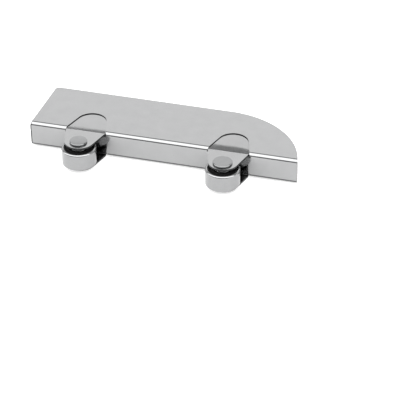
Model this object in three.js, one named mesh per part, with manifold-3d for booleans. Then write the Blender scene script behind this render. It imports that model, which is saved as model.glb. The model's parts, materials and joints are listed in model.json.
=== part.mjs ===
// Sliding door roller: a pressed steel channel casing that carries two sealed ball-bearing wheels.
//
// Millimetres, +Z up, +X along the casing towards its rounded end, -Y towards the wheels.
// The origin is on the outer face of the bottom flange, half way along the length and the depth.
//
// The casing is one pressed sheet: a web with a top and a bottom flange. At each wheel a tongue is
// cut out of both flanges and bent forward, which makes a pair of ears and leaves an opening of the
// ears' own outline in each flange. A rivet through the two ears is the wheel's axle.

import * as THREE from 'three';
import * as BufferGeometryUtils from 'three/addons/utils/BufferGeometryUtils.js';
import Module from 'manifold-3d';

const wasm = await Module();
wasm.setup();

// Casing
const LENGTH = 121.4;
const DEPTH = 32.2;
const HEIGHT = 12;
const SHEET = 0.8;
const BEND_RADIUS = 1.9; // outside of the two long bends
const END_RADIUS = 38.2; // the large round of one end
const CORNER_RADIUS = 2; // rear corner of the square end
const SQUARE_END_RAKE = 1; // how far the rear of the square end stands in from its front
const WEB_Y = -DEPTH / 2; // outer face of the web
const REAR_Y = DEPTH / 2;
const FRONT_X = -LENGTH / 2; // the square end

// Ears and the openings they leave
const EAR_ROOT_HALF = 9.3;
const EAR_TIP_RADIUS = 6.6;
const EAR_REACH = 14.6; // from the web's outer face to the tip of the ear
const EAR_INSET = 0.2; // the ears' outer faces stand this far inside the flanges' outer faces
const EAR_BEND_INNER = 0.6;
const OPENING_ROOT_HALF = 9.6;
const OPENING_TIP_RADIUS = 6.7;
const OPENING_REACH = 14.8;

// Rollers
const AXLE_Y = WEB_Y - 9.4;
const MIDDLE_Z = HEIGHT / 2;
const WHEEL_RADIUS = 7.6;
const WHEEL_WIDTH = 8;
const LOWER_SPACER = 0.4; // the wheel rests on this thin washer
const UPPER_SPACER = 0.8; // lies loose on the inner race, with play under the upper ear
const WHEEL_Z = EAR_INSET + SHEET + LOWER_SPACER + WHEEL_WIDTH / 2;
const WHEEL_EDGE = 0.9; // rounding of the tread's two edges
const SHANK_RADIUS = 2;
const RIVET_HOLE_RADIUS = 2.3;
const HEAD_HEIGHT = 0.95;
const TAIL_RADIUS = 3.1;
const TAIL_HEIGHT = 0.7;
const ROLLERS = [
  { side: 'left', x: -34.7, headRadius: 3.9 },
  { side: 'right', x: 30.2, headRadius: 4.3 },
];

// Bearing inside each wheel: a row of caged balls between an inner race and the tread ring
const BALL_RADIUS = 1.2;
const BALL_COUNT = 7;
const PITCH_RADIUS = 4.75;
const GROOVE_RADIUS = 1.3;
const RACE_BORE_RADIUS = 2.3;
const RACE_SHOULDER = 3.8;
const RING_SHOULDER = 5.7;
const SEAL_SEAT_RADIUS = 6.6;
const SEAL_SEAT_DEPTH = 0.75;
const SEAL_THICKNESS = 0.45;
const SEAL_RADIUS = 6.45;
const SEAL_HOLE_RADIUS = 4.0;
const SPACER_RADIUS = 3.3;
const CAGE_INNER = 4.1;
const CAGE_OUTER = 5.4;
const CAGE_BACK = 2; // from the balls' plane to the closed side of the cage
const CAGE_FRONT = 0.5; // from the balls' plane to the open side of the cage
const POCKET_RADIUS = 1.4;

const RING_SEGMENTS = 32;
const SMALL_SEGMENTS = 24;
const BEND_SEGMENTS = 5;
const OUTLINE_SEGMENTS = 20;

const zincSteel = { color: 0xbfc0c0, roughness: 0.28, metalness: 0.95 };
const groundSteel = { color: 0xc8c9ca, roughness: 0.16, metalness: 1 };
const rivetSteel = { color: 0xb0b1b2, roughness: 0.3, metalness: 0.95 };
const blackRubber = { color: 0x141414, roughness: 0.65, metalness: 0 };
const cagePolymer = { color: 0xd8cfae, roughness: 0.5, metalness: 0 };

// ---------------------------------------------------------------- solids

function toManifold(geometry) {
  const bare = geometry.clone();
  bare.deleteAttribute('normal');
  bare.deleteAttribute('uv');
  const merged = BufferGeometryUtils.mergeVertices(bare, 1e-5);
  return new wasm.Manifold(new wasm.Mesh({
    numProp: 3,
    vertProperties: new Float32Array(merged.attributes.position.array),
    triVerts: new Uint32Array(merged.index.array),
  }));
}

function toGeometry(solid) {
  const mesh = solid.getMesh();
  const geometry = new THREE.BufferGeometry();
  geometry.setAttribute('position', new THREE.BufferAttribute(new Float32Array(mesh.vertProperties), 3));
  geometry.setIndex(new THREE.BufferAttribute(new Uint32Array(mesh.triVerts), 1));
  geometry.computeVertexNormals();
  return geometry;
}

// A plan outline (X, Y) raised from one height to another.
function raised(shape, fromZ, toZ) {
  const options = { depth: toZ - fromZ, bevelEnabled: false, curveSegments: OUTLINE_SEGMENTS };
  return toManifold(new THREE.ExtrudeGeometry(shape, options).translate(0, 0, fromZ));
}

// A cross section (Y, Z) drawn out along X.
function drawnOut(shape, fromX, toX) {
  const options = { depth: toX - fromX, bevelEnabled: false, curveSegments: BEND_SEGMENTS };
  const alongX = new THREE.Matrix4().makeBasis(
    new THREE.Vector3(0, 1, 0), new THREE.Vector3(0, 0, 1), new THREE.Vector3(1, 0, 0));
  const geometry = new THREE.ExtrudeGeometry(shape, options).applyMatrix4(alongX);
  return toManifold(geometry.translate(fromX, 0, 0));
}

// A half section of [radius, height] points turned about Z. A section that stays off the axis closes
// on itself.
function turned(section, segments) {
  const points = section.map(([radius, height]) => new THREE.Vector2(radius, height));
  if (THREE.ShapeUtils.area(points) < 0) points.reverse();
  if (points.every((point) => point.x > 0)) points.push(points[0].clone());
  return new THREE.LatheGeometry(points, segments).rotateX(Math.PI / 2);
}

// Points of an arc in a half section, both ends included.
function arcPoints(centreR, centreH, radius, fromDeg, toDeg, steps) {
  return Array.from({ length: steps + 1 }, (_, step) => {
    const angle = THREE.MathUtils.degToRad(fromDeg + ((toDeg - fromDeg) * step) / steps);
    return [centreR + radius * Math.cos(angle), centreH + radius * Math.sin(angle)];
  });
}

// ---------------------------------------------------------------- casing

// The channel's section: two flanges and the web between them, one sheet thick.
function channelSection() {
  const inner = BEND_RADIUS - SHEET;
  const bendY = WEB_Y + BEND_RADIUS;
  const shape = new THREE.Shape();
  shape.moveTo(REAR_Y + 1, 0);
  shape.lineTo(REAR_Y + 1, SHEET);
  shape.lineTo(bendY, SHEET);
  shape.absarc(bendY, BEND_RADIUS, inner, -Math.PI / 2, -Math.PI, true);
  shape.absarc(bendY, HEIGHT - BEND_RADIUS, inner, Math.PI, Math.PI / 2, true);
  shape.lineTo(REAR_Y + 1, HEIGHT - SHEET);
  shape.lineTo(REAR_Y + 1, HEIGHT);
  shape.absarc(bendY, HEIGHT - BEND_RADIUS, BEND_RADIUS, Math.PI / 2, Math.PI, false);
  shape.absarc(bendY, BEND_RADIUS, BEND_RADIUS, Math.PI, 1.5 * Math.PI, false);
  return shape;
}

// Seen from above: a square end with one small round corner, and an end that is one large round.
function casingOutline() {
  const centreX = LENGTH / 2 - Math.sqrt(END_RADIUS ** 2 - (DEPTH - END_RADIUS) ** 2);
  const centreY = REAR_Y - END_RADIUS;
  const cornerX = FRONT_X + SQUARE_END_RAKE;
  const shape = new THREE.Shape();
  shape.moveTo(FRONT_X, WEB_Y - 1);
  shape.lineTo(LENGTH / 2, WEB_Y - 1);
  shape.lineTo(LENGTH / 2, WEB_Y);
  shape.absarc(centreX, centreY, END_RADIUS, Math.asin((WEB_Y - centreY) / END_RADIUS), Math.PI / 2, false);
  shape.absarc(cornerX + CORNER_RADIUS, REAR_Y - CORNER_RADIUS, CORNER_RADIUS, Math.PI / 2, Math.PI, false);
  return shape;
}

// A tapered tongue with a round tip, from y = 0 to y = reach, closed a little below y = 0.
function tongueOutline(x, rootHalf, tipRadius, reach, direction) {
  const centre = reach - tipRadius;
  const taper = Math.acos(tipRadius / Math.hypot(rootHalf, centre)) - Math.atan2(centre, rootHalf);
  const steps = 12;
  const tip = Array.from({ length: steps + 1 }, (_, step) => {
    const angle = taper + ((Math.PI - 2 * taper) * step) / steps;
    return new THREE.Vector2(x + tipRadius * Math.cos(angle), centre + tipRadius * Math.sin(angle));
  });
  const points = [
    new THREE.Vector2(x - rootHalf, -BEND_RADIUS),
    new THREE.Vector2(x + rootHalf, -BEND_RADIUS),
    new THREE.Vector2(x + rootHalf, 0),
    ...tip,
    new THREE.Vector2(x - rootHalf, 0),
  ];
  for (const point of points) point.y = WEB_Y + direction * point.y;
  return new THREE.Shape(points);
}

// The upper ear's section: up the web, round the bend and forward. The lower ear is its mirror image.
function earSection(mirrored) {
  const topZ = HEIGHT - EAR_INSET;
  const outer = EAR_BEND_INNER + SHEET;
  const bendY = WEB_Y - EAR_BEND_INNER;
  const bendZ = topZ - outer;
  const reach = WEB_Y - EAR_REACH - 1;
  const points = [[WEB_Y, MIDDLE_Z + 1], [WEB_Y + SHEET, MIDDLE_Z + 1]];
  points.push(...arcPoints(bendY, bendZ, outer, 0, 90, BEND_SEGMENTS));
  points.push([reach, topZ], [reach, topZ - SHEET]);
  points.push(...arcPoints(bendY, bendZ, EAR_BEND_INNER, 90, 0, BEND_SEGMENTS));
  const z = mirrored ? (height) => HEIGHT - height : (height) => height;
  return new THREE.Shape(points.map(([y, height]) => new THREE.Vector2(y, z(height))));
}

function makeCasing() {
  const channel = drawnOut(channelSection(), FRONT_X - 1, LENGTH / 2 + 1);
  let casing = channel.intersect(raised(casingOutline(), -1, HEIGHT + 1));
  for (const { x } of ROLLERS) {
    const opening = tongueOutline(x, OPENING_ROOT_HALF, OPENING_TIP_RADIUS, OPENING_REACH, 1);
    casing = casing.subtract(raised(opening, -1, BEND_RADIUS));
    casing = casing.subtract(raised(opening, HEIGHT - BEND_RADIUS, HEIGHT + 1));
    const ear = raised(tongueOutline(x, EAR_ROOT_HALF, EAR_TIP_RADIUS, EAR_REACH, -1), -1, HEIGHT + 1);
    for (const mirrored of [false, true]) {
      const strip = drawnOut(earSection(mirrored), x - EAR_ROOT_HALF, x + EAR_ROOT_HALF);
      casing = casing.add(strip.intersect(ear));
    }
    const hole = new THREE.CylinderGeometry(RIVET_HOLE_RADIUS, RIVET_HOLE_RADIUS, HEIGHT + 2, SMALL_SEGMENTS);
    casing = casing.subtract(toManifold(hole.rotateX(Math.PI / 2).translate(x, AXLE_Y, MIDDLE_Z)));
  }
  return toGeometry(casing);
}

// ---------------------------------------------------------------- roller pieces, turned about Z = axle

// Drawn about the middle of the ears: the head sits on the upper ear and the peened tail under the
// lower one.
function makeRivet(headRadius) {
  const top = MIDDLE_Z - EAR_INSET;
  return turned([
    [0, -top - TAIL_HEIGHT],
    [TAIL_RADIUS - 1, -top - TAIL_HEIGHT],
    [TAIL_RADIUS - 0.25, -top - TAIL_HEIGHT + 0.25],
    [TAIL_RADIUS, -top - 0.2],
    [TAIL_RADIUS, -top],
    [SHANK_RADIUS, -top],
    [SHANK_RADIUS, top],
    [headRadius, top],
    [headRadius, top + HEAD_HEIGHT - 0.45],
    [headRadius - 0.12, top + HEAD_HEIGHT - 0.15],
    [headRadius - 0.45, top + HEAD_HEIGHT],
    [0, top + HEAD_HEIGHT],
  ], SMALL_SEGMENTS);
}

// The ball groove in a shoulder, from below to above: it bites away from the pitch circle.
function groovePoints(shoulder) {
  const half = THREE.MathUtils.radToDeg(Math.acos(Math.abs(shoulder - PITCH_RADIUS) / GROOVE_RADIUS));
  return shoulder > PITCH_RADIUS
    ? arcPoints(PITCH_RADIUS, 0, GROOVE_RADIUS, -half, half, 4)
    : arcPoints(PITCH_RADIUS, 0, GROOVE_RADIUS, 180 + half, 180 - half, 4);
}

function makeInnerRace() {
  const half = WHEEL_WIDTH / 2;
  return turned([
    [RACE_BORE_RADIUS, -half],
    [RACE_SHOULDER, -half],
    ...groovePoints(RACE_SHOULDER),
    [RACE_SHOULDER, half],
    [RACE_BORE_RADIUS, half],
  ], RING_SEGMENTS);
}

// The wheel's tread ring is the bearing's outer race, with a seat for a seal at each face.
function makeTreadRing() {
  const half = WHEEL_WIDTH / 2;
  const seat = half - SEAL_SEAT_DEPTH;
  const edgeR = WHEEL_RADIUS - WHEEL_EDGE;
  return turned([
    [SEAL_SEAT_RADIUS, -half],
    ...arcPoints(edgeR, -half + WHEEL_EDGE, WHEEL_EDGE, -90, 0, 3),
    ...arcPoints(edgeR, half - WHEEL_EDGE, WHEEL_EDGE, 0, 90, 3),
    [SEAL_SEAT_RADIUS, half],
    [SEAL_SEAT_RADIUS, seat],
    [RING_SHOULDER, seat],
    ...groovePoints(RING_SHOULDER).reverse(),
    [RING_SHOULDER, -seat],
    [SEAL_SEAT_RADIUS, -seat],
  ], RING_SEGMENTS);
}

function makeDisc(innerRadius, outerRadius, thickness, segments) {
  return turned([
    [innerRadius, -thickness / 2],
    [outerRadius, -thickness / 2],
    [outerRadius, thickness / 2],
    [innerRadius, thickness / 2],
  ], segments);
}

function ballPlaces() {
  return Array.from({ length: BALL_COUNT }, (_, index) => {
    const angle = (2 * Math.PI * index) / BALL_COUNT;
    return [PITCH_RADIUS * Math.cos(angle), PITCH_RADIUS * Math.sin(angle)];
  });
}

// A crown cage: a ring closed on its lower side, with a pocket for each ball.
function makeCage() {
  let cage = toManifold(turned([
    [CAGE_INNER, -CAGE_BACK],
    [CAGE_OUTER, -CAGE_BACK],
    [CAGE_OUTER, CAGE_FRONT],
    [CAGE_INNER, CAGE_FRONT],
  ], SMALL_SEGMENTS));
  for (const [x, y] of ballPlaces()) {
    cage = cage.subtract(toManifold(new THREE.IcosahedronGeometry(POCKET_RADIUS, 1).translate(x, y, 0)));
  }
  return toGeometry(cage);
}

// ---------------------------------------------------------------- assembly

function addPiece(group, name, geometry, look, position = [0, 0, 0]) {
  const mesh = new THREE.Mesh(geometry, new THREE.MeshStandardMaterial(look));
  mesh.name = name;
  mesh.position.set(...position);
  group.add(mesh);
}

function makeRoller({ side, x, headRadius }) {
  const roller = new THREE.Group();
  roller.position.set(x, AXLE_Y, WHEEL_Z);
  addPiece(roller, `axle_rivet_${side}`, makeRivet(headRadius), rivetSteel, [0, 0, MIDDLE_Z - WHEEL_Z]);
  addPiece(roller, `inner_race_${side}`, makeInnerRace(), groundSteel);
  addPiece(roller, `tread_ring_${side}`, makeTreadRing(), groundSteel);
  addPiece(roller, `ball_cage_${side}`, makeCage(), cagePolymer);
  ballPlaces().forEach(([ballX, ballY], index) => {
    const ball = new THREE.IcosahedronGeometry(BALL_RADIUS, 1);
    addPiece(roller, `ball_${index + 1}_${side}`, ball, groundSteel, [ballX, ballY, 0]);
  });
  const sealZ = (WHEEL_WIDTH - SEAL_SEAT_DEPTH) / 2;
  for (const [level, sign, thickness] of [['upper', 1, UPPER_SPACER], ['lower', -1, LOWER_SPACER]]) {
    const spacer = makeDisc(RACE_BORE_RADIUS, SPACER_RADIUS, thickness, SMALL_SEGMENTS);
    const seal = makeDisc(SEAL_HOLE_RADIUS, SEAL_RADIUS, SEAL_THICKNESS, RING_SEGMENTS);
    const spacerZ = (WHEEL_WIDTH + thickness) / 2;
    addPiece(roller, `${level}_spacer_${side}`, spacer, zincSteel, [0, 0, sign * spacerZ]);
    addPiece(roller, `${level}_seal_${side}`, seal, blackRubber, [0, 0, sign * sealZ]);
  }
  return roller;
}

const slidingDoorRoller = new THREE.Group();
addPiece(slidingDoorRoller, 'casing', makeCasing(), zincSteel);
for (const roller of ROLLERS) slidingDoorRoller.add(makeRoller(roller));

export default slidingDoorRoller;
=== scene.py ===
"""Sliding door roller: its visible pieces, their finishes and a plain studio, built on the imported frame.

The casing is one pressed steel channel with bent ears. Each pair of ears holds a riveted axle, and on it
a sealed ball-bearing wheel.
"""

import json
import logging
import math
from dataclasses import dataclass, field
from enum import Enum
from typing import Callable, Sequence

import bmesh
import bpy
from mathutils import Matrix, Vector


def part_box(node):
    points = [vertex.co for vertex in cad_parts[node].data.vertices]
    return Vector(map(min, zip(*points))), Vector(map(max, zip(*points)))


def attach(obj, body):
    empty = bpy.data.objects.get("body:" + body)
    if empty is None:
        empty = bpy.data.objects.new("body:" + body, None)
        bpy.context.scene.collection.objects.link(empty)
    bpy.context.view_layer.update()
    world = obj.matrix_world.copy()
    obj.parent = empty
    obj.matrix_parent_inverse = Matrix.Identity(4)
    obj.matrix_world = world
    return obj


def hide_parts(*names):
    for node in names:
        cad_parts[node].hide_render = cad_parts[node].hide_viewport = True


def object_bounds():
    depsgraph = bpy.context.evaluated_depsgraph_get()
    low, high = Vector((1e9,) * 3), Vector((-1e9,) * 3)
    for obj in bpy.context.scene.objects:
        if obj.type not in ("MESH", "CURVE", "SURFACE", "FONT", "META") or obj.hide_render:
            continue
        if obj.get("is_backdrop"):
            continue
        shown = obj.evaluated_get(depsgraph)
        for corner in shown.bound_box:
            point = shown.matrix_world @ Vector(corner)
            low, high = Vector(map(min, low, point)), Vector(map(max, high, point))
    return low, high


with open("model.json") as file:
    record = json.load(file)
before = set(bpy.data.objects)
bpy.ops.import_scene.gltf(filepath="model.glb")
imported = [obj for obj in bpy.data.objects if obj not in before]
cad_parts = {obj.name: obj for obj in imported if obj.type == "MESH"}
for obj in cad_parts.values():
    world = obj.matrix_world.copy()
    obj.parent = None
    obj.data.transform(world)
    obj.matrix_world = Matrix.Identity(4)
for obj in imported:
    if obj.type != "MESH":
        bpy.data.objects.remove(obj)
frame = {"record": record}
log = logging.getLogger("door_roller")

MM = 0.001
MERGE = 1e-7
CASING_BODY = "casing_body"
BALL_COUNT = 7


class Side(Enum):
    """Which of the two rollers a piece belongs to."""

    LEFT = "left"
    RIGHT = "right"


class Level(Enum):
    """Which face of a wheel a piece lies at; the value is the direction away from the wheel's middle."""

    UPPER = 1
    LOWER = -1


# ---------------------------------------------------------------- sections and outlines


@dataclass(frozen=True)
class Corner:
    """One corner of a section: its place and the radius that rounds it."""

    across: float
    up: float
    radius: float = 0.0


def arc(centre: Vector, radius: float, start: float, end: float, steps: int) -> list[Vector]:
    """Points along an arc in a plane, both ends included.

    Args:
        centre: The arc's centre.
        radius: Its radius.
        start: Angle of the first point, in radians.
        end: Angle of the last point, in radians.
        steps: How many straight pieces the arc has.

    Returns:
        The points, as two-dimensional vectors.
    """
    angles = [start + (end - start) * step / steps for step in range(steps + 1)]
    return [centre + radius * Vector((math.cos(angle), math.sin(angle))) for angle in angles]


def rounded_section(corners: Sequence[Corner], closed: bool, steps: int = 6) -> list[Vector]:
    """Turns corners into a section whose corners are arcs.

    Args:
        corners: The corners in order.
        closed: Whether the last corner joins the first.
        steps: How many straight pieces each rounded corner has.

    Returns:
        The section's points.
    """
    points: list[Vector] = []
    count = len(corners)
    for index, corner in enumerate(corners):
        here = Vector((corner.across, corner.up))
        if corner.radius <= 0 or (not closed and index in (0, count - 1)):
            points.append(here)
            continue
        before = corners[index - 1]
        after = corners[(index + 1) % count]
        back = (Vector((before.across, before.up)) - here).normalized()
        ahead = (Vector((after.across, after.up)) - here).normalized()
        half = back.angle(ahead) / 2
        centre = here + (back + ahead).normalized() * corner.radius / math.sin(half)
        first = here + back * corner.radius / math.tan(half) - centre
        last = here + ahead * corner.radius / math.tan(half) - centre
        start = math.atan2(first.y, first.x)
        turn = math.remainder(math.atan2(last.y, last.x) - start, math.tau)
        points += arc(centre, corner.radius, start, start + turn, steps)
    return points


@dataclass(frozen=True)
class Tongue:
    """A tapered tongue with a round tip, standing on a straight root."""

    root_half: float
    tip_radius: float
    reach: float
    steps: int = 32

    def outline(self) -> list[Vector]:
        """The outline from the right end of the root, round the tip, to the left end of the root.

        Returns:
            The outline's points.
        """
        centre = self.reach - self.tip_radius
        slant = math.hypot(self.root_half, centre)
        taper = math.acos(self.tip_radius / slant) - math.atan2(centre, self.root_half)
        tip = arc(Vector((0, centre)), self.tip_radius, taper, math.pi - taper, self.steps)
        return [Vector((self.root_half, 0)), *tip, Vector((-self.root_half, 0))]


# ---------------------------------------------------------------- mesh helpers


def turned(section: Sequence[Vector], closed: bool, steps: int = 96) -> bmesh.types.BMesh:
    """Spins a half section, drawn as (radius, height), about the Z axis.

    Args:
        section: The section's points.
        closed: Whether the section closes on itself; if not, it starts and ends on the axis.
        steps: How many steps a full turn has.

    Returns:
        The closed solid, at the origin.
    """
    bm = bmesh.new()
    verts = [bm.verts.new((point.x, 0, point.y)) for point in section]
    edges = [bm.edges.new(pair) for pair in zip(verts, verts[1:])]
    if closed:
        edges.append(bm.edges.new((verts[-1], verts[0])))
    bmesh.ops.spin(bm, geom=verts + edges, cent=(0, 0, 0), axis=(0, 0, 1), angle=math.tau,
                   steps=steps, use_merge=True)
    bmesh.ops.remove_doubles(bm, verts=bm.verts[:], dist=MERGE)
    bmesh.ops.recalc_face_normals(bm, faces=bm.faces[:])
    return bm


def add_object(bm: bmesh.types.BMesh, name: str, place: Vector) -> bpy.types.Object:
    """Makes an object of a bmesh, with its place in its mesh.

    Args:
        bm: The shape; it is freed.
        name: The object's name.
        place: Where the shape's origin goes.

    Returns:
        The new object, at the origin.
    """
    bmesh.ops.translate(bm, vec=place, verts=bm.verts[:])
    mesh = bpy.data.meshes.new(name)
    bm.to_mesh(mesh)
    bm.free()
    mesh.shade_smooth()
    piece = bpy.data.objects.new(name, mesh)
    bpy.context.scene.collection.objects.link(piece)
    return piece


def apply_modifiers(piece: bpy.types.Object) -> None:
    """Bakes a piece's modifiers into its mesh.

    Args:
        piece: The piece.
    """
    bpy.context.view_layer.update()
    evaluated = piece.evaluated_get(bpy.context.evaluated_depsgraph_get())
    mesh = bpy.data.meshes.new_from_object(evaluated)
    piece.modifiers.clear()
    piece.data = mesh


def dress(piece: bpy.types.Object, material: bpy.types.Material | None, body: str,
          nodes: Sequence[str], sharp: float = math.radians(40)) -> bpy.types.Object:
    """Gives a finished piece its finish, its body and the CAD nodes that it stands for.

    Args:
        piece: The piece.
        material: Its finish, or None if its faces have theirs already.
        body: The CAD body that it moves with.
        nodes: The CAD nodes that it replaces.
        sharp: Edges that bend more than this stay sharp.

    Returns:
        The same piece.
    """
    if material is not None:
        piece.data.materials.append(material)
    piece.data.set_sharp_from_angle(angle=sharp)
    weighted = piece.modifiers.new("even_shading", "WEIGHTED_NORMAL")
    weighted.keep_sharp = True
    weighted.weight = 100
    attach(piece, body)
    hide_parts(*nodes)
    log.info("%s: %d faces on %s", piece.name, len(piece.data.polygons), body)
    return piece


# ---------------------------------------------------------------- finishes


class Graph:
    """A material's node graph, with short ways to add the nodes that the finishes share."""

    def __init__(self, name: str) -> None:
        """Starts a material with one Principled shader.

        Args:
            name: The material's name.
        """
        self.material = bpy.data.materials.new(name)
        self.material.use_nodes = True
        self.nodes = self.material.node_tree.nodes
        self.links = self.material.node_tree.links
        self.shader = self.nodes["Principled BSDF"]
        self.place = self.nodes.new("ShaderNodeTexCoord").outputs["Object"]

    def stretched(self, scale: Sequence[float], centre: Vector = Vector()) -> bpy.types.NodeSocket:
        """Object coordinates, centred on a point and scaled.

        Args:
            scale: Scale along X, Y and Z.
            centre: The point that becomes the origin.

        Returns:
            The coordinates' socket.
        """
        mapping = self.nodes.new("ShaderNodeMapping")
        mapping.vector_type = "POINT"
        mapping.inputs["Location"].default_value = [-c * s for c, s in zip(centre, scale)]
        mapping.inputs["Scale"].default_value = scale
        self.links.new(self.place, mapping.inputs["Vector"])
        return mapping.outputs["Vector"]

    def noise(self, vector: bpy.types.NodeSocket, scale: float, detail: float = 3.0,
              roughness: float = 0.5) -> bpy.types.NodeSocket:
        """A noise pattern's value, from 0 to 1, on some coordinates.

        Args:
            vector: The coordinates.
            scale: The pattern's scale.
            detail: How many finer layers it has.
            roughness: How strong the finer layers are.

        Returns:
            The value's socket.
        """
        node = self.nodes.new("ShaderNodeTexNoise")
        node.inputs["Scale"].default_value = scale
        node.inputs["Detail"].default_value = detail
        node.inputs["Roughness"].default_value = roughness
        self.links.new(vector, node.inputs["Vector"])
        return node.outputs["Fac"]

    def spread(self, value: bpy.types.NodeSocket, low: float, high: float,
               from_low: float = 0.3, from_high: float = 0.7) -> bpy.types.NodeSocket:
        """A value mapped from one range to another, and held inside it.

        Args:
            value: The value.
            low: What it becomes at the first range's low end.
            high: What it becomes at the first range's high end.
            from_low: The first range's low end.
            from_high: The first range's high end.

        Returns:
            The new value's socket.
        """
        node = self.nodes.new("ShaderNodeMapRange")
        node.inputs["From Min"].default_value = from_low
        node.inputs["From Max"].default_value = from_high
        node.inputs["To Min"].default_value = low
        node.inputs["To Max"].default_value = high
        self.links.new(value, node.inputs["Value"])
        return node.outputs["Result"]

    def mixed(self, factor: bpy.types.NodeSocket, low: Sequence[float],
              high: Sequence[float]) -> bpy.types.NodeSocket:
        """A colour between two colours.

        Args:
            factor: Where between them, from 0 to 1.
            low: The colour at 0.
            high: The colour at 1.

        Returns:
            The colour's socket.
        """
        node = self.nodes.new("ShaderNodeMix")
        node.data_type = "RGBA"
        node.inputs["A"].default_value = (*low, 1)
        node.inputs["B"].default_value = (*high, 1)
        self.links.new(factor, node.inputs["Factor"])
        return node.outputs["Result"]

    def drawn_to(self, colour: bpy.types.NodeSocket, target: Sequence[float],
                 factor: bpy.types.NodeSocket) -> bpy.types.NodeSocket:
        """A colour drawn towards another one where a factor says so.

        Args:
            colour: The colour that is there without it.
            target: The other colour.
            factor: How far the colour is drawn, from 0 to 1.

        Returns:
            The new colour's socket.
        """
        node = self.nodes.new("ShaderNodeMix")
        node.data_type = "RGBA"
        node.inputs["B"].default_value = (*target, 1)
        self.links.new(colour, node.inputs["A"])
        self.links.new(factor, node.inputs["Factor"])
        return node.outputs["Result"]

    def combined(self, operation: str, first: bpy.types.NodeSocket,
                 second: bpy.types.NodeSocket) -> bpy.types.NodeSocket:
        """Two values put together by a named operation.

        Args:
            operation: The operation, such as MULTIPLY or MAXIMUM.
            first: One value.
            second: The other value.

        Returns:
            The result's socket.
        """
        node = self.nodes.new("ShaderNodeMath")
        node.operation = operation
        self.links.new(first, node.inputs[0])
        self.links.new(second, node.inputs[1])
        return node.outputs["Value"]

    def rings(self, centre: Vector, scale: float) -> bpy.types.NodeSocket:
        """Fine turning marks: rings about a point, which show as circles on a turned face.

        Args:
            centre: The rings' centre.
            scale: The pattern's scale.

        Returns:
            The pattern's socket.
        """
        node = self.nodes.new("ShaderNodeTexWave")
        node.wave_type = "RINGS"
        node.rings_direction = "SPHERICAL"
        node.inputs["Scale"].default_value = scale
        node.inputs["Distortion"].default_value = 1.5
        node.inputs["Detail"].default_value = 2
        self.links.new(self.stretched((1, 1, 1), centre), node.inputs["Vector"])
        return node.outputs["Fac"]

    def bump(self, height: bpy.types.NodeSocket, depth: float,
             under: bpy.types.NodeSocket | None = None) -> bpy.types.NodeSocket:
        """A relief, over another relief if there is one.

        Args:
            height: The relief's height, from 0 to 1.
            depth: Its depth, in metres.
            under: The relief that lies under it.

        Returns:
            The normal's socket.
        """
        node = self.nodes.new("ShaderNodeBump")
        node.inputs["Strength"].default_value = 1
        node.inputs["Distance"].default_value = depth
        self.links.new(height, node.inputs["Height"])
        if under is not None:
            self.links.new(under, node.inputs["Normal"])
        return node.outputs["Normal"]

    def set(self, **values: float | Sequence[float]) -> None:
        """Sets values on the shader's own sockets, named with _ for a space."""
        for name, value in values.items():
            self.shader.inputs[name.replace("_", " ")].default_value = value

    def feed(self, socket: str, value: bpy.types.NodeSocket) -> None:
        """Links a value to one of the shader's sockets."""
        self.links.new(value, self.shader.inputs[socket])


@dataclass(frozen=True)
class PressedSteel:
    """Zinc-plated pressed sheet: a soft mirror with faint rolling grain and clouds.

    Painted shade: a darker line is painted into the base colour along the web's foot and down its square
    end.
    """

    foot: Vector
    name: str = "pressed_zinc_steel"
    dark: tuple[float, float, float] = (0.272, 0.274, 0.276)
    light: tuple[float, float, float] = (0.306, 0.308, 0.309)
    smooth: float = 0.07
    rough: float = 0.14
    grain_depth: float = 0.0022 * MM
    wave_depth: float = 0.012 * MM
    # Painted shade: the dark tone and the widths of the lines painted along the web's foot and square end.
    painted_shade_tone: tuple[float, float, float] = (0.07, 0.071, 0.072)
    painted_shade_end: float = 0.52 * MM
    painted_shade_end_fade: float = 0.05 * MM
    painted_shade_foot: float = 1.72 * MM
    painted_shade_foot_fade: float = 0.3 * MM

    def painted_shade_lines(self, graph: Graph) -> bpy.types.NodeSocket:
        """The painted shade's mask: a value that is 1 on the web's foot and at its square end, and 0
        elsewhere.

        Args:
            graph: The material's graph.

        Returns:
            The value's socket.
        """
        parts = graph.nodes.new("ShaderNodeSeparateXYZ")
        graph.links.new(graph.place, parts.inputs["Vector"])
        end = self.foot.x + self.painted_shade_end
        front, height = self.foot.y + self.painted_shade_foot, self.foot.z + self.painted_shade_foot
        at_end = graph.spread(parts.outputs["X"], 1, 0, end - self.painted_shade_end_fade, end + self.painted_shade_end_fade)
        in_front = graph.spread(parts.outputs["Y"], 1, 0, front - self.painted_shade_foot_fade, front)
        low = graph.spread(parts.outputs["Z"], 1, 0, height - self.painted_shade_foot_fade, height)
        return graph.combined("MAXIMUM", at_end, graph.combined("MULTIPLY", in_front, low))

    def material(self) -> bpy.types.Material:
        """Builds the finish.

        Returns:
            The material.
        """
        graph = Graph(self.name)
        graph.set(Metallic=1.0)
        clouds = graph.noise(graph.stretched((1, 1, 1)), 160, 4)
        grain = graph.noise(graph.stretched((120, 2600, 2600)), 1, 4, 0.6)
        waves = graph.noise(graph.stretched((1, 1, 1)), 55, 2)
        plain = graph.mixed(clouds, self.dark, self.light)
        # Painted shade: the base colour is drawn towards the dark tone along the web's foot and its square
        # end.
        graph.feed("Base Color", graph.drawn_to(plain, self.painted_shade_tone, self.painted_shade_lines(graph)))
        graph.feed("Roughness", graph.spread(grain, self.smooth, self.rough))
        relief = graph.bump(waves, self.wave_depth)
        graph.feed("Normal", graph.bump(grain, self.grain_depth, relief))
        return graph.material


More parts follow.
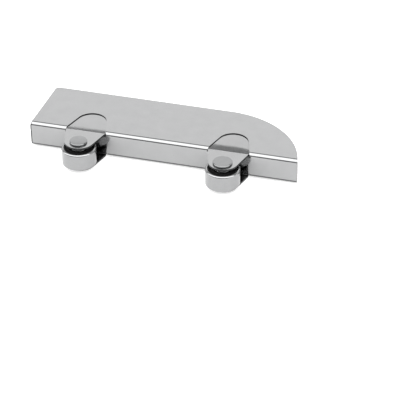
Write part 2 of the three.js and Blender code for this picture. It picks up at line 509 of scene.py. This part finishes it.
@dataclass(frozen=True)
class ShearedEdgePaintedShade:
    """The cut edges of the sheet: duller and rougher than its faces, with their colour darkened far below
    the sheet's as painted shade along the edges.
    """

    name: str = "sheared_edge_painted_shade"
    dark: tuple[float, float, float] = (0.022, 0.0225, 0.023)
    light: tuple[float, float, float] = (0.05, 0.051, 0.052)

    def material(self) -> bpy.types.Material:
        """Builds the finish.

        Returns:
            The material.
        """
        graph = Graph(self.name)
        graph.set(Metallic=1.0)
        streaks = graph.noise(graph.stretched((900, 900, 3500)), 1, 3)
        # Painted shade: the near-black colour stands in for the shade on the cut edges and eased rims.
        graph.feed("Base Color", graph.mixed(streaks, self.dark, self.light))
        graph.feed("Roughness", graph.spread(streaks, 0.35, 0.5))
        graph.feed("Normal", graph.bump(streaks, 0.004 * MM))
        return graph.material


@dataclass(frozen=True)
class TurnedSteel:
    """Ground or turned steel with fine marks round its axle."""

    name: str
    centre: Vector
    dark: tuple[float, float, float] = (0.245, 0.247, 0.249)
    light: tuple[float, float, float] = (0.285, 0.287, 0.289)
    smooth: float = 0.1
    rough: float = 0.2
    ring_scale: float = 900.0
    ring_depth: float = 0.0012 * MM

    def material(self) -> bpy.types.Material:
        """Builds the finish.

        Returns:
            The material.
        """
        graph = Graph(self.name)
        graph.set(Metallic=1.0)
        clouds = graph.noise(graph.stretched((1, 1, 1)), 500, 4)
        rings = graph.rings(self.centre, self.ring_scale)
        graph.feed("Base Color", graph.mixed(clouds, self.dark, self.light))
        graph.feed("Roughness", graph.spread(clouds, self.smooth, self.rough))
        graph.feed("Normal", graph.bump(rings, self.ring_depth))
        return graph.material


@dataclass(frozen=True)
class SealRubber:
    """Black moulded rubber, matt, with a dusty bloom."""

    name: str = "black_seal_rubber"
    dark: tuple[float, float, float] = (0.002, 0.002, 0.002)
    light: tuple[float, float, float] = (0.005, 0.005, 0.005)

    def material(self) -> bpy.types.Material:
        """Builds the finish.

        Returns:
            The material.
        """
        graph = Graph(self.name)
        graph.set(Specular_IOR_Level=0.12)
        fine = graph.noise(graph.stretched((1, 1, 1)), 2500, 3)
        graph.feed("Base Color", graph.mixed(fine, self.dark, self.light))
        graph.feed("Roughness", graph.spread(fine, 0.5, 0.72))
        graph.feed("Normal", graph.bump(fine, 0.004 * MM))
        return graph.material


@dataclass(frozen=True)
class CageNylon:
    """Natural moulded nylon, slightly waxy."""

    name: str = "cage_nylon"

    def material(self) -> bpy.types.Material:
        """Builds the finish.

        Returns:
            The material.
        """
        graph = Graph(self.name)
        fine = graph.noise(graph.stretched((1, 1, 1)), 900, 3)
        graph.feed("Base Color", graph.mixed(fine, (0.55, 0.5, 0.36), (0.66, 0.61, 0.46)))
        graph.feed("Roughness", graph.spread(fine, 0.38, 0.52))
        graph.feed("Normal", graph.bump(fine, 0.004 * MM))
        return graph.material


# ---------------------------------------------------------------- casing


@dataclass
class Casing:
    """The pressed channel with its two pairs of ears, made as a flat blank that is folded."""

    low: Vector
    high: Vector
    web_y: float
    roller_centres: list[Vector]
    sheet: float = 0.8 * MM
    bend_radius: float = 1.9 * MM
    end_radius: float = 38.2 * MM
    corner_radius: float = 2.0 * MM
    end_step: float = 0.4 * MM
    end_rake: float = 0.96 * MM
    rear_inset: float = 0.03 * MM
    ear: Tongue = Tongue(9.3 * MM, 6.6 * MM, 14.6 * MM)
    opening: Tongue = Tongue(9.6 * MM, 6.7 * MM, 14.8 * MM)
    ear_inset: float = 0.2 * MM
    ear_bend_inner: float = 0.6 * MM
    rivet_hole: float = 2.3 * MM
    edge_round: float = 0.28 * MM
    top_toe_in: tuple[float, float] = (0.0, 0.45 * MM)
    bottom_toe_in: tuple[float, float] = (0.25 * MM, 1.35 * MM)
    bend_steps: int = 14
    end_steps: int = 60
    slices: int = 24
    flat_slices: int = 8

    @property
    def half_height(self) -> float:
        """Half of the casing's height."""
        return (self.high.z - self.low.z) / 2

    @property
    def depth(self) -> float:
        """Depth from the web's outer face to the rear edges of the flanges."""
        return self.high.y - self.web_y - self.rear_inset

    @property
    def web_half(self) -> float:
        """Height of the flat of the web above the casing's middle."""
        return self.half_height - self.bend_radius

    @property
    def flange_bend(self) -> tuple[float, float]:
        """Radius and length of the long bends, in the middle of the sheet."""
        radius = self.bend_radius - self.sheet / 2
        return radius, radius * math.pi / 2

    @property
    def ear_bend(self) -> tuple[float, float, float]:
        """The ears' bends, in the middle of the sheet.

        Returns:
            Their radius, their length and the height above the web's flat where they start.
        """
        radius = self.ear_bend_inner + self.sheet / 2
        start = self.half_height - self.ear_inset - self.ear_bend_inner - self.sheet - self.web_half
        return radius, radius * math.pi / 2, start

    def fold_web(self, distance: float) -> tuple[float, float]:
        """Place (Y, Z) of a point of the web, some distance above the middle."""
        return self.web_y + self.sheet / 2, distance

    def fold_flange(self, distance: float) -> tuple[float, float]:
        """Folds a point of the flange round the long bend.

        Args:
            distance: Distance along the sheet, from the web's edge.

        Returns:
            Y and Z, in the middle of the sheet.
        """
        radius, length = self.flange_bend
        angle = min(distance, length) / radius
        straight = max(distance - length, 0)
        y = self.web_y + self.bend_radius - radius * math.cos(angle) + straight
        return y, self.web_half + radius * math.sin(angle)

    def fold_ear(self, distance: float) -> tuple[float, float]:
        """Folds a point of an ear round its own bend.

        Args:
            distance: Distance along the sheet, from the web's edge.

        Returns:
            Y and Z, in the middle of the sheet.
        """
        radius, length, start = self.ear_bend
        angle = min(max(distance - start, 0), length) / radius
        straight = max(distance - start - length, 0)
        y = self.web_y - self.ear_bend_inner + radius * math.cos(angle) - straight
        return y, self.web_half + min(distance, start) + radius * math.sin(angle)

    def along_flange(self, depth: float) -> float:
        """Distance along the flange's sheet of a point behind the web's face.

        Args:
            depth: How far behind it is.

        Returns:
            The distance from the web's edge.
        """
        length = self.flange_bend[1]
        if depth < self.bend_radius:
            return length * depth / self.bend_radius
        return length + depth - self.bend_radius

    def along_ear(self, reach: float) -> float:
        """Distance along an ear's sheet of a point in front of the web's face.

        Args:
            reach: How far in front it is.

        Returns:
            The distance from the web's edge.
        """
        _, length, start = self.ear_bend
        if reach < self.ear_bend_inner:
            return start + length * reach / self.ear_bend_inner
        return start + length + reach - self.ear_bend_inner

    def web_outline(self) -> list[Vector]:
        """The upper half of the web, with a point wherever a flange or an ear begins.

        Returns:
            The outline.
        """
        halves = (-self.opening.root_half, -self.ear.root_half, self.ear.root_half, self.opening.root_half)
        tops = [centre.x + half for centre in self.roller_centres for half in halves]
        top = [Vector((x, self.web_half)) for x in sorted([self.low.x, *tops, self.high.x], reverse=True)]
        return [Vector((self.low.x, 0)), Vector((self.high.x, 0)), *top]

    def flange_outline(self) -> list[Vector]:
        """One flange's blank: openings at its front, a large round at one end, a small one behind.

        Returns:
            The outline, as (X, distance along the sheet).
        """
        points = [Vector((self.low.x, 0))]
        for centre in self.roller_centres:
            opening = [Vector((centre.x + p.x, p.y)) for p in self.opening.outline()]
            points += reversed(opening)
        centre_y = self.depth - self.end_radius
        centre_x = self.high.x - math.sqrt(self.end_radius**2 - centre_y**2)
        start = math.asin(-centre_y / self.end_radius)
        points += arc(Vector((centre_x, centre_y)), self.end_radius, start, math.pi / 2, self.end_steps)
        corner = Vector((self.low.x + self.end_rake + self.corner_radius, self.depth - self.corner_radius))
        points += arc(corner, self.corner_radius, math.pi / 2, math.pi, 10)
        points.append(Vector((self.low.x + self.end_step, self.bend_radius)))
        return [Vector((point.x, self.along_flange(point.y))) for point in points]

    def ear_half_outline(self, centre: Vector, hand: int) -> list[Vector]:
        """One half of an ear's blank, split down the middle through the rivet's hole.

        Args:
            centre: The roller's axle.
            hand: 1 for the half towards +X, -1 for the other.

        Returns:
            The outline.
        """
        axle = self.web_y - centre.y
        half = [point for point in self.ear.outline() if point.x > MERGE]
        hole = arc(Vector((0, axle)), self.rivet_hole, math.pi / 2, -math.pi / 2, 16)
        points = [*half, Vector((0, self.ear.reach)), *hole]
        blank = [Vector((0, 0)), Vector((self.ear.root_half, 0))]
        blank += [Vector((point.x, self.along_ear(point.y))) for point in points]
        return [Vector((centre.x + hand * point.x, point.y)) for point in blank]

    def toed_in(self, place: Vector) -> Vector:
        """Leans a flange inwards, least at the square end and most at the round end's rear.

        Args:
            place: A point of the casing, from its middle plane.

        Returns:
            Where the point goes; the web and the ears stay where they are.
        """
        along = (place.x - self.low.x) / (self.high.x - self.low.x)
        behind = max(place.y - self.web_y - self.bend_radius, 0) / (self.depth - self.bend_radius)
        square, rounded = self.top_toe_in if place.z > 0 else self.bottom_toe_in
        toe_in = (square + (rounded - square) * along) * behind
        return place - Vector((0, 0, math.copysign(toe_in, place.z)))

    def add_blank(self, casing: bmesh.types.BMesh, outline: Sequence[Vector],
                  fold: Callable[[float], tuple[float, float]], cuts: Sequence[float] = (),
                  slices: Sequence[float] = ()) -> None:
        """Cuts one blank across its bend, folds it, and adds it to the casing.

        Args:
            casing: The casing so far.
            outline: The blank's outline, as (X, distance along the sheet).
            fold: Gives the place (Y, Z) of a distance along the sheet.
            cuts: The distances at which the blank is creased.
            slices: Places along X at which the blank is divided.
        """
        blank = bmesh.new()
        blank.faces.new([blank.verts.new((point.x, point.y, 0)) for point in outline])
        planes = [((0, cut, 0), (0, 1, 0)) for cut in cuts] + [((x, 0, 0), (1, 0, 0)) for x in slices]
        for place, normal in planes:
            everything = blank.verts[:] + blank.edges[:] + blank.faces[:]
            bmesh.ops.bisect_plane(blank, geom=everything, dist=MERGE, plane_co=place, plane_no=normal)
        for vert in blank.verts:
            vert.co = (vert.co.x, *fold(vert.co.y))
        folded = bpy.data.meshes.new("folded_blank")
        blank.to_mesh(folded)
        blank.free()
        casing.from_mesh(folded)
        bpy.data.meshes.remove(folded)

    def build(self, sheet: bpy.types.Material, edge: bpy.types.Material) -> bpy.types.Object:
        """Folds the sheet, gives it its thickness and eases its cut edges.

        Args:
            sheet: The sheet's finish.
            edge: The cut edges' finish, whose dark colour is painted shade.

        Returns:
            The casing.
        """
        bm = bmesh.new()
        width = (self.high.x - self.low.x) / self.slices
        slices = [self.low.x + width * step for step in range(1, self.slices)]
        self.add_blank(bm, self.web_outline(), self.fold_web, slices=slices)
        _, length = self.flange_bend
        flat = self.along_flange(self.depth) - length
        creases = [length * step / self.bend_steps for step in range(1, self.bend_steps + 1)]
        creases += [length + flat * step / self.flat_slices for step in range(1, self.flat_slices)]
        self.add_blank(bm, self.flange_outline(), self.fold_flange, creases, slices)
        _, length, start = self.ear_bend
        creases = [start + length * step / self.bend_steps for step in range(self.bend_steps + 1)]
        for centre in self.roller_centres:
            for hand in (1, -1):
                self.add_blank(bm, self.ear_half_outline(centre, hand), self.fold_ear, creases)
        bmesh.ops.remove_doubles(bm, verts=bm.verts[:], dist=MERGE)
        bmesh.ops.mirror(bm, geom=bm.verts[:] + bm.edges[:] + bm.faces[:], axis="Z", merge_dist=MERGE)
        bmesh.ops.remove_doubles(bm, verts=bm.verts[:], dist=MERGE)
        for vert in bm.verts:
            vert.co = self.toed_in(vert.co)
        bmesh.ops.recalc_face_normals(bm, faces=bm.faces[:])
        piece = add_object(bm, "pressed_casing", Vector((0, 0, self.low.z + self.half_height)))
        piece.data.materials.append(sheet)
        piece.data.materials.append(edge)
        thickness = piece.modifiers.new("thickness", "SOLIDIFY")
        # The rims and eased edges take the cut-edge finish, whose dark colour paints the shade on them.
        thickness.material_offset_rim = 1
        thickness.thickness = self.sheet
        thickness.offset = 0
        thickness.use_even_offset = True
        eased = piece.modifiers.new("eased_edges", "BEVEL")
        eased.width = self.edge_round
        eased.segments = 3
        eased.limit_method = "ANGLE"
        eased.angle_limit = math.radians(50)
        eased.material = 1
        apply_modifiers(piece)
        return dress(piece, None, CASING_BODY, ["casing"])


# ---------------------------------------------------------------- rollers


@dataclass
class Roller:
    """One wheel with its sealed bearing, its axle rivet and the spacers beside it."""

    side: Side
    groove: float = 1.3 * MM
    ball: float = 1.2 * MM
    pitch: float = 4.75 * MM
    race_shoulder: float = 3.8 * MM
    ring_shoulder: float = 5.7 * MM
    seal_seat: float = 6.6 * MM
    seal_seat_depth: float = 0.75 * MM
    race_bore: float = 2.3 * MM
    shank: float = 2.0 * MM
    head_height: float = 0.95 * MM
    tail_height: float = 0.7 * MM
    tail_radius: float = 3.1 * MM
    tread_edge: float = 0.92 * MM
    small_edge: float = 0.05 * MM
    cage_width: float = 1.3 * MM
    cage_play: float = 0.14 * MM
    ring_steps: int = 128
    small_steps: int = 72
    centre: Vector = field(init=False)
    radius: float = field(init=False)
    half_width: float = field(init=False)

    def __post_init__(self) -> None:
        """Takes the wheel's place and size from the frame."""
        low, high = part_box(self.node("tread_ring"))
        self.centre = (low + high) / 2
        self.radius = (high.x - low.x) / 2
        self.half_width = (high.z - low.z) / 2

    def node(self, piece: str) -> str:
        """The CAD node's name of one of this roller's pieces."""
        return f"{piece}_{self.side.value}"

    def body(self, name: str) -> str:
        """The CAD body's name on this side."""
        return f"{name}_{self.side.value}"

    def groove_arc(self, shoulder: float) -> list[Vector]:
        """The ball groove in a shoulder, from below to above.

        Args:
            shoulder: The shoulder's radius, inside or outside the row of balls.

        Returns:
            The groove's points.
        """
        half = math.acos(abs(shoulder - self.pitch) / self.groove)
        if shoulder > self.pitch:
            return arc(Vector((self.pitch, 0)), self.groove, -half, half, 12)
        return arc(Vector((self.pitch, 0)), self.groove, math.pi + half, math.pi - half, 12)

    def build_tread(self, material: bpy.types.Material) -> bpy.types.Object:
        """The polished tread ring, which is the bearing's outer race and holds the seals.

        Args:
            material: Its finish.

        Returns:
            The ring.
        """
        half, seat = self.half_width, self.half_width - self.seal_seat_depth
        face = rounded_section([
            Corner(self.seal_seat, seat),
            Corner(self.seal_seat, half, self.small_edge),
            Corner(self.radius, half, self.tread_edge),
            Corner(self.radius, -half, self.tread_edge),
            Corner(self.seal_seat, -half, self.small_edge),
            Corner(self.seal_seat, -seat),
        ], closed=False, steps=8)
        inside = [Vector((self.ring_shoulder, -seat)), *self.groove_arc(self.ring_shoulder),
                  Vector((self.ring_shoulder, seat))]
        piece = add_object(turned(face + inside, closed=True, steps=self.ring_steps),
                           f"wheel_tread_{self.side.value}", self.centre)
        return dress(piece, material, self.body("wheel"), [self.node("tread_ring")])

    def build_race(self, material: bpy.types.Material) -> bpy.types.Object:
        """The inner race on the axle.

        Args:
            material: Its finish.

        Returns:
            The race.
        """
        half = self.half_width
        lower = [Vector((self.race_bore, -half)), Vector((self.race_shoulder, -half))]
        upper = [Vector((self.race_shoulder, half)), Vector((self.race_bore, half))]
        section = lower + self.groove_arc(self.race_shoulder) + upper
        piece = add_object(turned(section, closed=True, steps=self.small_steps),
                           f"bearing_race_{self.side.value}", self.centre)
        return dress(piece, material, CASING_BODY, [self.node("inner_race")])

    def build_seal(self, level: Level, material: bpy.types.Material) -> bpy.types.Object:
        """A moulded seal with a raised lip at its bore and a shallow trough round it.

        Args:
            level: Which face of the wheel.
            material: Its finish.

        Returns:
            The seal.
        """
        node = self.node(f"{level.name.lower()}_seal")
        low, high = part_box(node)
        outer = (high.x - low.x) / 2
        inner = self.race_shoulder + 0.2 * MM
        half = (high.z - low.z) / 2
        section = rounded_section([
            Corner(inner, -half),
            Corner(outer, -half),
            Corner(outer, half, 0.06 * MM),
            Corner(outer - 0.55 * MM, half, 0.05 * MM),
            Corner(outer - 0.75 * MM, half - 0.16 * MM, 0.05 * MM),
            Corner(inner + 0.85 * MM, half - 0.16 * MM, 0.05 * MM),
            Corner(inner + 0.6 * MM, half - 0.02 * MM, 0.05 * MM),
            Corner(inner, half - 0.02 * MM, 0.08 * MM),
        ], closed=True, steps=4)
        bm = turned([Vector((p.x, p.y * level.value)) for p in section], closed=True)
        piece = add_object(bm, f"bearing_seal_{level.name.lower()}_{self.side.value}", (low + high) / 2)
        return dress(piece, material, self.body("wheel"), [node])

    def build_spacer(self, level: Level, material: bpy.types.Material) -> bpy.types.Object:
        """A plain washer between the inner race and an ear.

        Args:
            level: Above or below the wheel.
            material: Its finish.

        Returns:
            The washer.
        """
        node = self.node(f"{level.name.lower()}_spacer")
        low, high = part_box(node)
        outer, half = (high.x - low.x) / 2, (high.z - low.z) / 2
        ease = 0.1 * MM
        section = rounded_section([
            Corner(self.race_bore, -half, ease), Corner(outer, -half, ease),
            Corner(outer, half, ease), Corner(self.race_bore, half, ease),
        ], closed=True, steps=3)
        piece = add_object(turned(section, closed=True, steps=self.small_steps),
                           f"washer_{level.name.lower()}_{self.side.value}", (low + high) / 2)
        return dress(piece, material, CASING_BODY, [node])

    def build_rivet(self, material: bpy.types.Material) -> bpy.types.Object:
        """The axle rivet: a flat head with a rolled edge, a plain shank and a peened tail.

        Args:
            material: Its finish.

        Returns:
            The rivet.
        """
        node = self.node("axle_rivet")
        low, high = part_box(node)
        head = (high.x - low.x) / 2
        tail = self.tail_radius
        top, bottom = high.z - self.centre.z, low.z - self.centre.z
        under_head, over_tail = top - self.head_height, bottom + self.tail_height
        section = rounded_section([
            Corner(0, bottom),
            Corner(tail - 1.1 * MM, bottom, 0.5 * MM),
            Corner(tail, bottom + 0.45 * MM, 0.25 * MM),
            Corner(tail, over_tail, 0.08 * MM),
            Corner(self.shank, over_tail),
            Corner(self.shank, under_head),
            Corner(head - 0.3 * MM, under_head),
            Corner(head, top - 0.5 * MM, 0.3 * MM),
            Corner(head - 0.1 * MM, top, 0.35 * MM),
            Corner(0, top),
        ], closed=False, steps=6)
        piece = add_object(turned(section, closed=False), f"rivet_{self.side.value}", self.centre)
        return dress(piece, material, CASING_BODY, [node])

    def build_balls(self, material: bpy.types.Material) -> bpy.types.Object:
        """The row of balls, each where the frame has it.

        Args:
            material: Their finish.

        Returns:
            The row, as one piece.
        """
        nodes = [self.node(f"ball_{index}") for index in range(1, BALL_COUNT + 1)]
        bm = bmesh.new()
        for node in nodes:
            low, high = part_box(node)
            place = Matrix.Translation((low + high) / 2)
            bmesh.ops.create_icosphere(bm, subdivisions=4, radius=self.ball, matrix=place)
        piece = add_object(bm, f"ball_row_{self.side.value}", Vector())
        return dress(piece, material, self.body("ball_set"), nodes)

    def build_cage(self, material: bpy.types.Material) -> bpy.types.Object:
        """The crown cage: a ring whose upper edge dips round each ball.

        Args:
            material: Its finish.

        Returns:
            The cage.
        """
        node = self.node("ball_cage")
        low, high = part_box(node)
        outer = (high.x - low.x) / 2
        inner = outer - self.cage_width
        bottom, top = low.z - self.centre.z, high.z - self.centre.z
        pocket = self.ball + self.cage_play
        levels = 6
        heights = [bottom + (top - bottom) * step / levels for step in range(levels + 1)]
        section = [Vector((outer, z)) for z in heights] + [Vector((inner, z)) for z in reversed(heights)]
        bm = turned(section, closed=True, steps=BALL_COUNT * 24)
        share = math.tau / BALL_COUNT
        for vert in bm.verts:
            angle = math.remainder(math.atan2(vert.co.y, vert.co.x), share)
            aside = 2 * self.pitch * math.sin(abs(angle) / 2)
            rim = -math.sqrt(pocket**2 - aside**2) if aside < pocket else top
            level = (vert.co.z - bottom) / (top - bottom)
            vert.co.z = bottom + level * (min(rim, top) - bottom)
        bmesh.ops.recalc_face_normals(bm, faces=bm.faces[:])
        piece = add_object(bm, f"crown_cage_{self.side.value}", self.centre)
        return dress(piece, material, self.body("ball_set"), [node])

    def build(self, sheet_steel: bpy.types.Material, rubber: bpy.types.Material,
              nylon: bpy.types.Material) -> None:
        """Builds every piece of this roller.

        Args:
            sheet_steel: The washers' finish.
            rubber: The seals' finish.
            nylon: The cage's finish.
        """
        side = self.side.value
        ground = TurnedSteel(f"ground_steel_{side}", self.centre).material()
        rivet = TurnedSteel(f"rivet_steel_{side}", self.centre, dark=(0.19, 0.193, 0.195),
                            light=(0.26, 0.262, 0.264), smooth=0.12, rough=0.24).material()
        self.build_tread(ground)
        self.build_race(ground)
        self.build_balls(ground)
        self.build_cage(nylon)
        self.build_rivet(rivet)
        for level in Level:
            self.build_seal(level, rubber)
            self.build_spacer(level, sheet_steel)


# ---------------------------------------------------------------- studio


@dataclass
class Studio:
    """A pale floor, a soft sky of light panels and the camera."""

    floor_z: float
    aim: Vector
    azimuth: float = 16.208
    elevation: float = 34.61
    roll: float = -0.757
    distance: float = 720.8 * MM
    aside: float = 16.85 * MM
    below: float = 20.54 * MM
    lens: float = 148.7
    panel_strength: float = 3.6
    floor_glow: float = 0.58
    floor_size: float = 3.0
    sky: tuple[tuple[float, float], ...] = (
        (0, 0.12), (30, 0.12), (40, 1.0), (96, 1.0), (104, 0.2), (134, 0.2), (141, 0.5), (180, 0.5))

    def build_floor(self) -> None:
        """A wide pale floor that glows a little, so that shadows on it stay white."""
        bm = bmesh.new()
        bmesh.ops.create_grid(bm, x_segments=8, y_segments=8, size=self.floor_size)
        floor = add_object(bm, "studio_floor", Vector((0, 0, self.floor_z)))
        graph = Graph("pale_floor")
        fine = graph.noise(graph.stretched((1, 1, 1)), 40, 2)
        graph.feed("Base Color", graph.mixed(fine, (0.61, 0.61, 0.61), (0.63, 0.63, 0.63)))
        graph.set(Roughness=0.9, Specular_IOR_Level=0.1)
        graph.set(Emission_Color=(1, 1, 1, 1), Emission_Strength=self.floor_glow)
        floor.data.materials.append(graph.material)
        floor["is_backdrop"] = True

    def build_sky(self) -> None:
        """Soft light: a wide panel in front and overhead, a dim gap behind it and a bright backdrop.

        The sky changes only with the angle that climbs from the front horizon, over the top, to the rear
        one.
        """
        world = bpy.data.worlds.new("studio_sky")
        bpy.context.scene.world = world
        world.use_nodes = True
        nodes, links = world.node_tree.nodes, world.node_tree.links
        place = nodes.new("ShaderNodeTexCoord")
        parts = nodes.new("ShaderNodeSeparateXYZ")
        ahead = nodes.new("ShaderNodeMath")
        ahead.operation = "MULTIPLY"
        ahead.inputs[1].default_value = -1
        angle = nodes.new("ShaderNodeMath")
        angle.operation = "ARCTAN2"
        share = nodes.new("ShaderNodeMath")
        share.operation = "DIVIDE"
        share.inputs[1].default_value = math.pi
        ramp = nodes.new("ShaderNodeValToRGB")
        links.new(place.outputs["Generated"], parts.inputs["Vector"])
        links.new(parts.outputs["Y"], ahead.inputs[0])
        links.new(parts.outputs["Z"], angle.inputs[0])
        links.new(ahead.outputs["Value"], angle.inputs[1])
        links.new(angle.outputs["Value"], share.inputs[0])
        links.new(share.outputs["Value"], ramp.inputs["Fac"])
        links.new(ramp.outputs["Color"], nodes["Background"].inputs["Color"])
        nodes["Background"].inputs["Strength"].default_value = self.panel_strength
        elements = ramp.color_ramp.elements
        while len(elements) < len(self.sky):
            elements.new(1.0)
        for element, (degrees, value) in zip(elements, self.sky):
            element.position = degrees / 180
            element.color = (value, value, value, 1)

    def build_camera(self) -> None:
        """A long lens, from the front right and above."""
        azimuth, elevation = math.radians(self.azimuth), math.radians(self.elevation)
        forward = Vector((-math.sin(azimuth) * math.cos(elevation),
                          math.cos(azimuth) * math.cos(elevation), -math.sin(elevation)))
        right = Vector((math.cos(azimuth), math.sin(azimuth), 0))
        up = right.cross(forward)
        roll = Matrix.Rotation(math.radians(self.roll), 3, -forward)
        right, up = roll @ right, roll @ up
        place = self.aim + self.aside * right - self.below * up - self.distance * forward
        data = bpy.data.cameras.new("studio_camera")
        data.lens = self.lens
        data.clip_start = 0.01
        camera = bpy.data.objects.new("studio_camera", data)
        rotation = Matrix((right, up, -forward)).transposed()
        camera.matrix_world = Matrix.Translation(place) @ rotation.to_4x4()
        bpy.context.scene.collection.objects.link(camera)
        bpy.context.scene.camera = camera

    def build(self) -> None:
        """Builds the studio."""
        self.build_floor()
        self.build_sky()
        self.build_camera()
        bpy.context.scene.view_settings.view_transform = "Standard"


# ---------------------------------------------------------------- main


def corners(bounds: Sequence[Vector]) -> list[list[float]]:
    """A box's two corners as plain lists."""
    return [list(corner) for corner in bounds]


def main() -> None:
    """Builds the casing, the rollers and the studio."""
    logging.basicConfig(level=logging.INFO, format="%(name)s: %(message)s")
    cad_bounds = corners(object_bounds())
    low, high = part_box("casing")
    mount = next(m for m in frame["record"]["mounts"] if m["name"] == "bottom_flange")
    rollers = [Roller(side) for side in Side]
    web_y = 2 * mount["pos_m"][1] - high.y
    sheet_steel = PressedSteel(Vector((low.x, web_y, low.z))).material()
    rubber = SealRubber().material()
    nylon = CageNylon().material()
    casing = Casing(low, high, web_y, [roller.centre for roller in rollers])
    casing.build(sheet_steel, ShearedEdgePaintedShade().material())
    for roller in rollers:
        roller.build(sheet_steel, rubber, nylon)
    Studio(cad_bounds[0][2], Vector((0, web_y, (low.z + high.z) / 2))).build()


if __name__ == "__main__":
    main()
